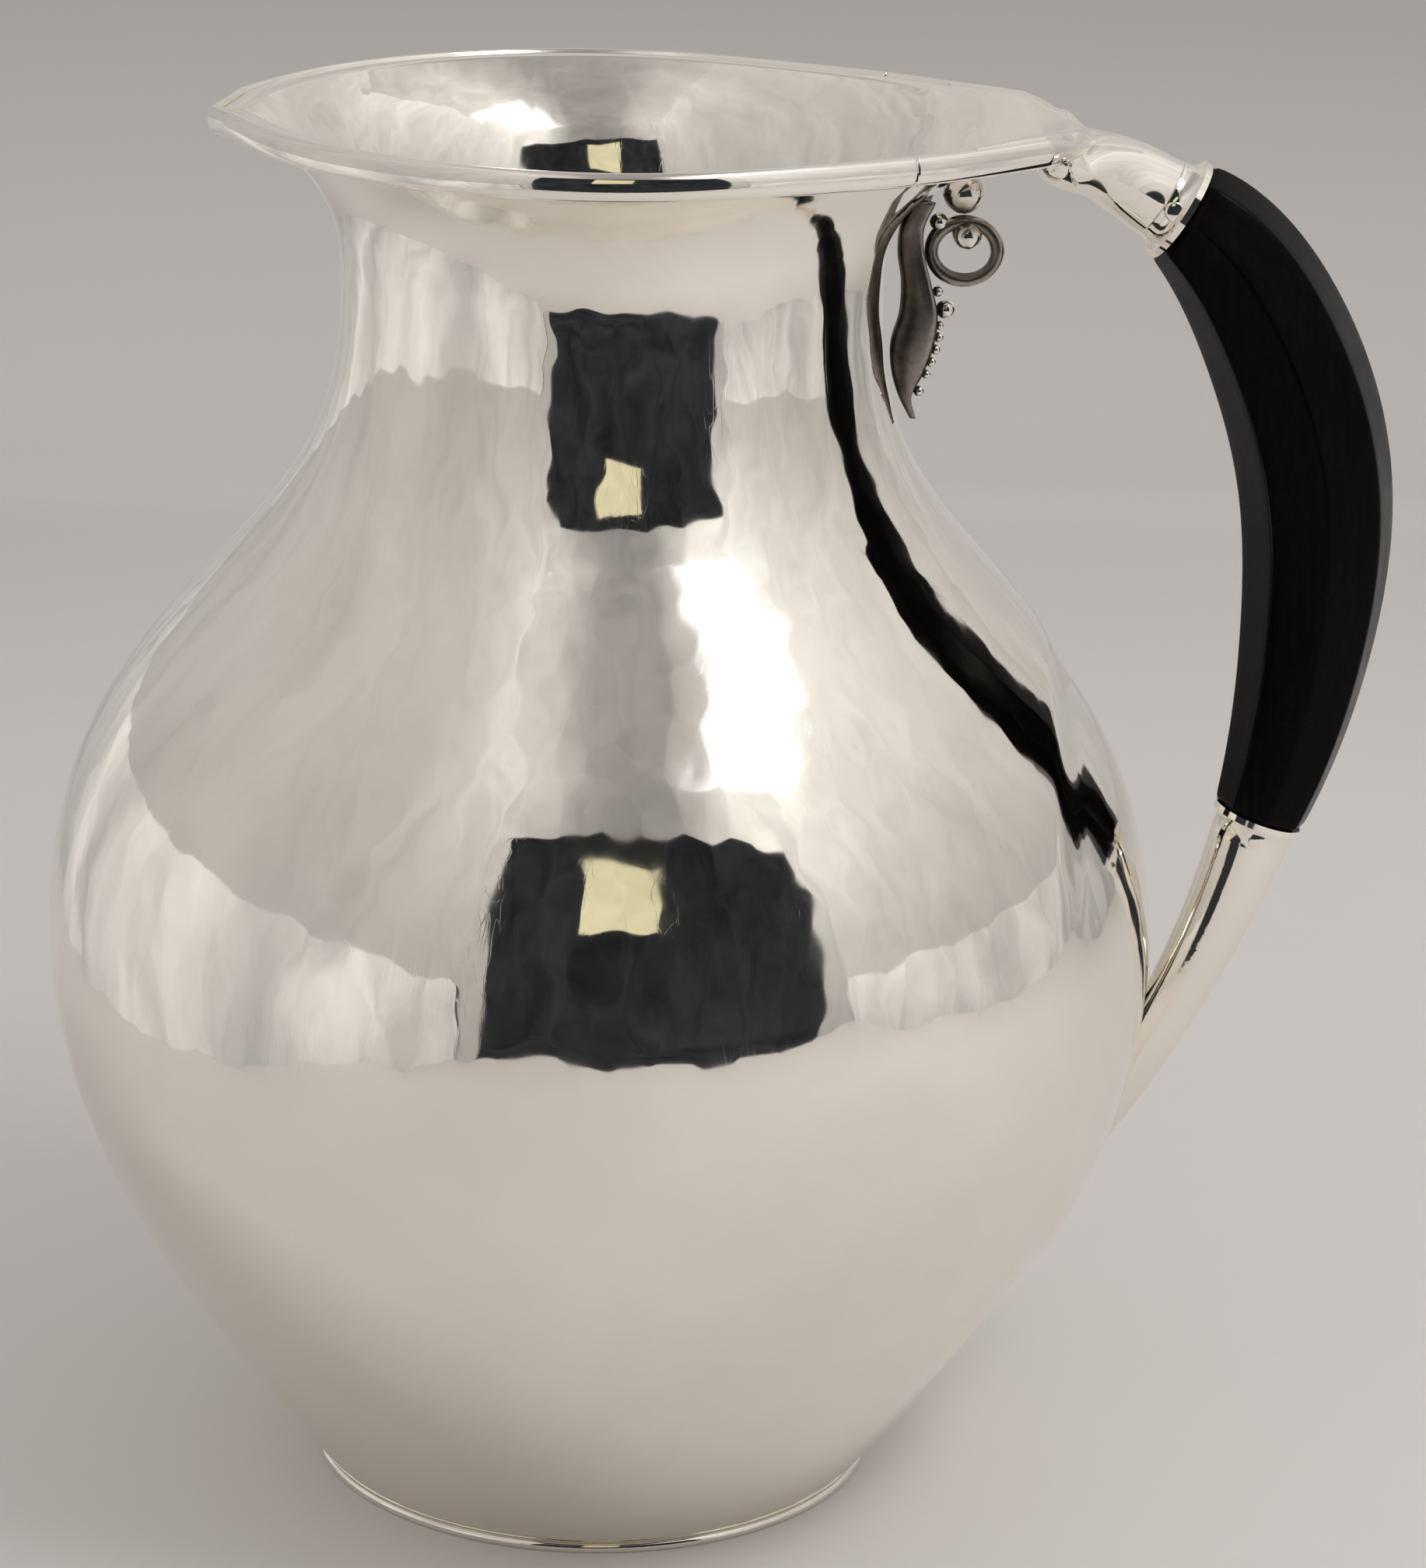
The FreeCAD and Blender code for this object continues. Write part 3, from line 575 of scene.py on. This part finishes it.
def grip_rings():
    """Eight-sided sections with softened corners along the bent centre line."""
    line = clamped_spline([GRIP_TOP] + GRIP_MIDDLE + [GRIP_BOTTOM],
                          (math.cos(GRIP_TOP_TILT), -math.sin(GRIP_TOP_TILT)),
                          (math.cos(GRIP_BOTTOM_TILT), -math.sin(GRIP_BOTTOM_TILT)))
    shares = np.linspace(0, 1, 140)
    points = line(shares)
    runs = np.gradient(points, axis=0)
    runs /= np.linalg.norm(runs, axis=1)[:, None]
    corners = [(math.cos(math.pi / 4 * c), math.sin(math.pi / 4 * c)) for c in range(8)]
    soft = 0.055
    outline = []
    for c in range(8):
        here, after = np.array(corners[c]), np.array(corners[(c + 1) % 8])
        before = np.array(corners[c - 1])
        start, end = here + (before - here) * soft, here + (after - here) * soft
        for t in np.linspace(0, 1, 5):
            outline.append((1 - t) ** 2 * start + 2 * t * (1 - t) * here + t * t * end)
        for t in (0.2, 0.4, 0.6, 0.8):
            outline.append(end + (after + (here - after) * soft - end) * t)
    outline = np.array(outline)
    rings = []
    for share, (x, z), (run_x, run_z) in zip(shares, points, runs):
        fullness = math.sin(math.pi * share ** 0.8) ** 0.9 if 0 < share < 1 else 0
        ends = GRIP_ENDS[0] + (GRIP_ENDS[1] - GRIP_ENDS[0]) * share
        high, wide = (ends + GRIP_SWELL * fullness) / 2, (ends + GRIP_SWELL_ACROSS * fullness) / 2
        ease = min(share, 1 - share) * 140
        trim = 1 - 0.05 * max(0, 1 - ease / 1.2)
        rings.append([(x - run_z * u * high * trim, v * wide * trim, z + run_x * u * high * trim)
                      for u, v in outline])
    return rings


grip = grid_mesh("grip_carved", grip_rings(), close_start=True, close_end=True)
face_outward(grip)
paint(grip, ebony)
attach(grip, BODY)
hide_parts("handle_grip")

# ---------------------------------------------------------------- leaf

# Up the leaf: z, x of its back, x of its face, half width.
LEAF = [(167.8, 45.1, 45.9, 0.4), (171.2, 43.3, 45.2, 1.2), (175, 42.1, 46.8, 2.0), (179.5, 41.8, 48.2, 2.7),
        (184, 42.9, 48.6, 3.0), (189.2, 43.0, 47.4, 2.8), (193, 42.4, 46.4, 2.5), (197, 42.6, 46.1, 2.6),
        (201.2, 44.2, 47.7, 3.2)]


def leaf_piece():
    """Leaf with a hollow face, a raised lip round it and a rounded back."""
    keys = np.array(LEAF, float)
    heights = np.linspace(keys[0, 0], keys[-1, 0], 90)
    columns = []
    for column in (1, 2, 3):
        slope = np.gradient(keys[:, column], keys[:, 0])
        i = np.clip(np.searchsorted(keys[:, 0], heights) - 1, 0, len(keys) - 2)
        gap = keys[i + 1, 0] - keys[i, 0]
        t = (heights - keys[i, 0]) / gap
        columns.append(hermite(t, gap, keys[i, column], slope[i], keys[i + 1, column], slope[i + 1]))
    rings, rubbed = [], []
    for height, back, face, wide in zip(heights, *columns):
        ring = []
        depth = face - back
        for bend in np.linspace(-90, 90, 25):
            t = math.radians(bend)
            ring.append((face - depth * math.cos(t) ** 0.8, wide * math.sin(t), height))
            rubbed.append(0.30 * abs(math.sin(t)) ** 6)
        for share in np.linspace(1, -1, 21)[1:-1]:
            hollow = min(0.9, depth * 0.3) * (1 - abs(share) ** 2.5)
            lip = 0.22 * math.exp(-((abs(share) - 0.93) / 0.06) ** 2)
            ring.append((face - hollow + lip, wide * share, height))
            rubbed.append(0.75 * math.exp(-((abs(share) - 0.95) / 0.08) ** 2))
        rings.append(ring)
    obj = grid_mesh("leaf_chased", rings, close_start=True, close_end=True)
    face_outward(obj)
    set_rubbed(obj, rubbed + [0, 0])
    return obj


def set_rubbed(obj, values):
    """How far each point is rubbed bright, from 0 to 1."""
    layer = obj.data.attributes.new("rubbed", "FLOAT", "POINT")
    layer.data.foreach_set("value", np.asarray(values, np.float32))


leaf = leaf_piece()
paint(leaf, oxidised)
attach(leaf, BODY)
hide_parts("leaf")

# ---------------------------------------------------------------- ring of wire and beads

def bead_piece(name, node, dark_towards):
    """Bead in the place of a CAD bead, darkened on the side that lies against its neighbours."""
    low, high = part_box(node)
    centre = np.array((low + high) / 2) / MM
    radius = (high - low)[1] / 2 / MM
    rings, rubbed = [], []
    towards = np.array(dark_towards, float)
    towards /= np.linalg.norm(towards)
    for polar in np.linspace(4, 176, 30):
        ring = []
        for turn in np.linspace(0, 360, 48, endpoint=False):
            p, t = math.radians(polar), math.radians(turn)
            way = np.array((math.sin(p) * math.cos(t), math.sin(p) * math.sin(t), math.cos(p)))
            dent = 1 + 0.012 * math.sin(5 * t + 3 * p)
            ring.append(centre + way * radius * dent)
            rubbed.append(0.72 - 0.62 * max(0, way @ towards) ** 1.2)
        rings.append(ring)
    obj = grid_mesh(name, rings, close_start=True, close_end=True)
    face_outward(obj)
    set_rubbed(obj, rubbed + [0.5, 0.5])
    paint(obj, oxidised)
    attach(obj, BODY)
    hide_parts(node)


bead_piece("bead_under_rim", "top_bead", (-0.3, 0, -1))
bead_piece("bead_in_ring", "ring_bead", (-0.2, 0, 1))
bead_piece("bead_bud", "bud_bead", (-0.6, 0, -0.6))
for number in range(1, 9):
    bead_piece(f"bead_of_leaf_{number}", f"leaf_bead_{number}", (-1, 0, -0.15))


def tendril_piece():
    """Ring of round wire, darker inside and behind, with a small hand-made unevenness."""
    low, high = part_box("tendril_ring")
    centre = np.array((low + high) / 2) / MM
    size = np.array(high - low) / MM
    wire = size[1] / 2
    half_wide, half_high = size[0] / 2 - wire, size[2] / 2 - wire
    rings, rubbed = [], []
    for turn in np.linspace(0, 2 * math.pi, 120, endpoint=False):
        ring = []
        away = np.array((math.cos(turn) / half_wide, 0, math.sin(turn) / half_high))
        away /= np.linalg.norm(away)
        middle = centre + np.array((half_wide * math.cos(turn), 0, half_high * math.sin(turn)))
        thick = wire * (1 + 0.05 * math.sin(3 * turn + 0.7))
        for bend in np.linspace(0, 2 * math.pi, 24, endpoint=False):
            offset = away * math.cos(bend) + np.array((0, 1, 0)) * math.sin(bend)
            ring.append(middle + offset * thick)
            rubbed.append(0.14 + 0.50 * max(0, math.cos(bend)) ** 2 + 0.10 * abs(math.sin(bend)))
        rings.append(ring)
    rings.append(rings[0])
    obj = grid_mesh("tendril_wire", rings)
    set_rubbed(obj, rubbed + rubbed[:24])
    face_outward(obj, join_points=True)
    paint(obj, oxidised)
    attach(obj, BODY)
    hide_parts("tendril_ring")


tendril_piece()

# ---------------------------------------------------------------- pieces shown as the CAD has them

for node_name, node in frame["nodes"].items():
    slot_name = next(p["material_slot"] for p in frame["record"]["subparts"] if p["node"] == node_name)
    paint(node, {"silver": silver_calm, "oxidised_silver": oxidised, "ebony": ebony}[slot_name])

# ---------------------------------------------------------------- floor and light box

def glow_material(name, colour, folds=0.0):
    """Light of a card: its strength is the mesh's "glow" value, with soft folds like hung cloth."""
    mat = bpy.data.materials.new(name)
    mat.use_nodes = True
    nodes, links = mat.node_tree.nodes, mat.node_tree.links
    nodes.remove(nodes["Principled BSDF"])
    shine = nodes.new("ShaderNodeEmission")
    shine.inputs["Color"].default_value = (*colour, 1)
    glow = nodes.new("ShaderNodeAttribute")
    glow.attribute_name = "glow"
    fold = noise_node(nodes, links, place_node(nodes, links, (1, 1, 0.35)), 9, 4, 0.55, 0.8)
    times = nodes.new("ShaderNodeMath")
    times.operation = "MULTIPLY"
    links.new(glow.outputs["Fac"], times.inputs[0])
    links.new(range_node(nodes, links, fold, 0.3, 0.7, 1 - folds, 1 + folds), times.inputs[1])
    links.new(times.outputs["Value"], shine.inputs["Strength"])
    links.new(shine.outputs["Emission"], nodes["Material Output"].inputs["Surface"])
    return mat


def card(name, one, other, stations, mat):
    """Card of the light box that only reflections and light see.

    It runs between two lines, one and other, each given by its two ends. A station is a share of the
    way along the lines and the glows there on each of them.
    """
    across, steps = 8, 6
    ends = np.array([one, other], float)
    verts, values = [], []
    for here, after in zip(stations, stations[1:]):
        last = after is stations[-1]
        for i in range(steps + (1 if last else 0)):
            share, low, high = (h + (a - h) * i / steps for h, a in zip(here, after))
            start, end = ends[:, 0] + (ends[:, 1] - ends[:, 0]) * share
            for j in range(across + 1):
                verts.append(tuple(start + (end - start) * j / across))
                values.append(low + (high - low) * j / across)
    row = across + 1
    faces = [(i * row + j, (i + 1) * row + j, (i + 1) * row + j + 1, i * row + j + 1)
             for i in range(len(verts) // row - 1) for j in range(across)]
    mesh = bpy.data.meshes.new(name)
    mesh.from_pydata(verts, [], faces)
    layer = mesh.attributes.new("glow", "FLOAT", "POINT")
    layer.data.foreach_set("value", np.asarray(values, np.float32))
    obj = bpy.data.objects.new(name, mesh)
    bpy.context.scene.collection.objects.link(obj)
    mesh.materials.append(mat)
    obj.visible_camera = False
    obj.visible_shadow = False
    obj.visible_diffuse = mat.name != "room_dark"


def floor():
    """Pale paper out to nine metres, with painted shade that makes it a little darker away from the pitcher.
    """
    rings = [[(r * math.cos(a), r * math.sin(a), 0) for a in np.linspace(0, 2 * math.pi, 96, endpoint=False)]
             for r in (60, 150, 300, 600, 1200, 3000, 9000)]
    obj = grid_mesh("floor", rings, close_start=True)
    face_outward(obj)
    mat, nodes, links, shader = new_material("floor_paper_painted_shade")
    coords = nodes.new("ShaderNodeTexCoord")
    length = nodes.new("ShaderNodeVectorMath")
    length.operation = "LENGTH"
    links.new(coords.outputs["Object"], length.inputs[0])
    away = range_node(nodes, links, length.outputs["Value"], 0.0, 2.0, 0, 1)
    # Painted shade: the paper's colour, lightest about 0.4 m from the pitcher, darkens further away, where
    # less light falls.
    links.new(ramp_node(nodes, links, away, [(0.0, (0.80, 0.775, 0.765)), (0.19, (0.82, 0.80, 0.79)),
                                             (0.34, (0.72, 0.70, 0.685)), (0.8, (0.56, 0.54, 0.525))]),
              shader.inputs["Base Color"])
    shader.inputs["Roughness"].default_value = 0.7
    shader.inputs["Specular IOR Level"].default_value = 0.2
    obj.data.materials.append(mat)
    return obj


floor()

# Light box, in metres: cloth walls with a creased skirt, an open front and a lamp at its top right.
LAMP = 10.0
LEFT, RIGHT, BACK, FRONT, TOP, SKIRT = -0.275, 0.62, 0.60, -0.57, 0.95, 0.155
GAP_LEFT, GAP_RIGHT, GAP_TOP = -0.235, 0.53, 0.68
cloth = glow_material("cloth_glow", (1.0, 0.965, 0.925), 0.12)
creased = glow_material("creased_glow", (1.0, 0.97, 0.935), 0.30)
lamp_light = glow_material("lamp_glow", (1.0, 0.99, 0.975), 0.0)
room_dark = glow_material("room_dark", (0.85, 0.93, 1.0), 0.5)
room_lamp = glow_material("room_lamp", (1.0, 0.93, 0.62), 0.15)


def upright(name, start, end, low, high, stations, mat):
    """Upright card over a line in plan."""
    card(name, [(*start, low), (*end, low)], [(*start, high), (*end, high)], stations, mat)


upright("wall_left", (LEFT, FRONT), (LEFT, BACK), SKIRT, TOP,
        [(0, 0.46, 0.84), (0.4, 0.50, 0.72), (1, 0.42, 0.55)], cloth)
upright("skirt_left", (LEFT - 0.004, FRONT), (LEFT - 0.004, BACK), 0, SKIRT + 0.004,
        [(0, 0.50, 0.70), (0.5, 0.56, 0.72), (1, 0.40, 0.50)], creased)
upright("wall_right", (RIGHT, FRONT), (RIGHT, BACK), SKIRT, TOP,
        [(0, 0.55, 1.15), (0.4, 0.50, 1.0), (1, 0.46, 0.85)], cloth)
upright("skirt_right", (RIGHT + 0.004, FRONT), (RIGHT + 0.004, BACK), 0, SKIRT + 0.004,
        [(0, 0.52, 0.72), (0.5, 0.50, 0.70), (1, 0.42, 0.52)], creased)
upright("wall_back", (LEFT, BACK), (RIGHT, BACK), 0.03, TOP, [(0, 0.50, 0.60), (1, 0.50, 0.80)], cloth)
card("ceiling", [(LEFT, FRONT, TOP), (RIGHT, FRONT, TOP)], [(LEFT, BACK, TOP), (RIGHT, BACK, TOP)],
     [(0, 0.75, 0.50), (0.13, 0.62, 0.45), (0.24, 0.42, 0.42), (0.34, 0.33, 0.40), (0.52, 0.36, 0.42),
      (0.62, 0.60, 0.5), (0.75, 1.0, 0.6), (1, 1.0, 0.6)], cloth)
upright("front_left", (LEFT, FRONT), (GAP_LEFT, FRONT), 0, TOP, [(0, 0.40, 0.70), (1, 0.42, 0.72)], cloth)
upright("front_right", (GAP_RIGHT, FRONT), (RIGHT, FRONT), 0, TOP, [(0, 0.40, 1.0), (1, 0.40, 1.0)], cloth)
upright("front_top", (GAP_LEFT, FRONT), (GAP_RIGHT, FRONT), GAP_TOP, TOP,
        [(0, 0.62, 0.72), (0.12, 0.52, 0.60), (0.28, 0.33, 0.40), (0.42, 0.27, 0.32), (0.60, 0.34, 0.36),
         (0.72, 0.70, 0.62), (0.85, 1.0, 1.0), (1, 1.05, 1.0)], cloth)
card("lamp", [(0.27, -0.56, TOP - 0.01), (0.60, -0.50, TOP - 0.01)],
     [(0.31, -0.16, TOP - 0.01), (0.60, -0.16, TOP - 0.01)],
     [(0, 0.6, 0.6), (0.14, 1.2, 1.2), (0.32, LAMP, LAMP), (1, LAMP, LAMP)], lamp_light)
upright("dark_room", (-1.6, FRONT - 0.40), (1.9, FRONT - 0.40), -0.5, 1.6,
        [(0, 0.035, 0.02), (1, 0.035, 0.02)], room_dark)
card("room_lamp", [(-0.05, FRONT - 0.30, 0.42), (0.17, FRONT - 0.30, 0.45)],
     [(-0.03, FRONT - 0.30, 0.85), (0.20, FRONT - 0.30, 0.80)], [(0, 0.8, 0.8), (1, 0.7, 0.7)], room_lamp)
# Painted shade: a dim card over the pale floor outside the light box, seen only in reflections, so that the
# floor there shows dark.
card("floor_shade_card", [(-9, FRONT, 0.001), (9, FRONT, 0.001)], [(-9, -9, 0.001), (9, -9, 0.001)],
     [(0, 0.03, 0.03), (1, 0.03, 0.03)], room_dark)

world = bpy.data.worlds.new("room")
world.use_nodes = True
world.node_tree.nodes["Background"].inputs["Color"].default_value = (0.60, 0.58, 0.565, 1)
world.node_tree.nodes["Background"].inputs["Strength"].default_value = 1.0
bpy.context.scene.world = world

# ---------------------------------------------------------------- camera

camera_data = bpy.data.cameras.new("camera")
camera = bpy.data.objects.new("camera", camera_data)
bpy.context.scene.collection.objects.link(camera)
camera_data.sensor_width = 36
camera_data.lens = 109.33
camera_data.clip_start, camera_data.clip_end = 0.05, 30
PITCH, YAW, ROLL = math.radians(17.672), math.radians(1.3817), math.radians(1.4227)
forward = Vector((math.sin(YAW) * math.cos(PITCH), math.cos(YAW) * math.cos(PITCH), -math.sin(PITCH)))
level = Vector((math.cos(YAW), -math.sin(YAW), 0))
upward = level.cross(forward)
side_axis = level * math.cos(ROLL) + upward * math.sin(ROLL)
up_axis = upward * math.cos(ROLL) - level * math.sin(ROLL)
camera.matrix_world = Matrix.Translation((0, -0.700, 0.332445)) @ Matrix(
    (side_axis, up_axis, -forward)).transposed().to_4x4()
bpy.context.scene.camera = camera
bpy.context.scene.view_settings.view_transform = "Standard"
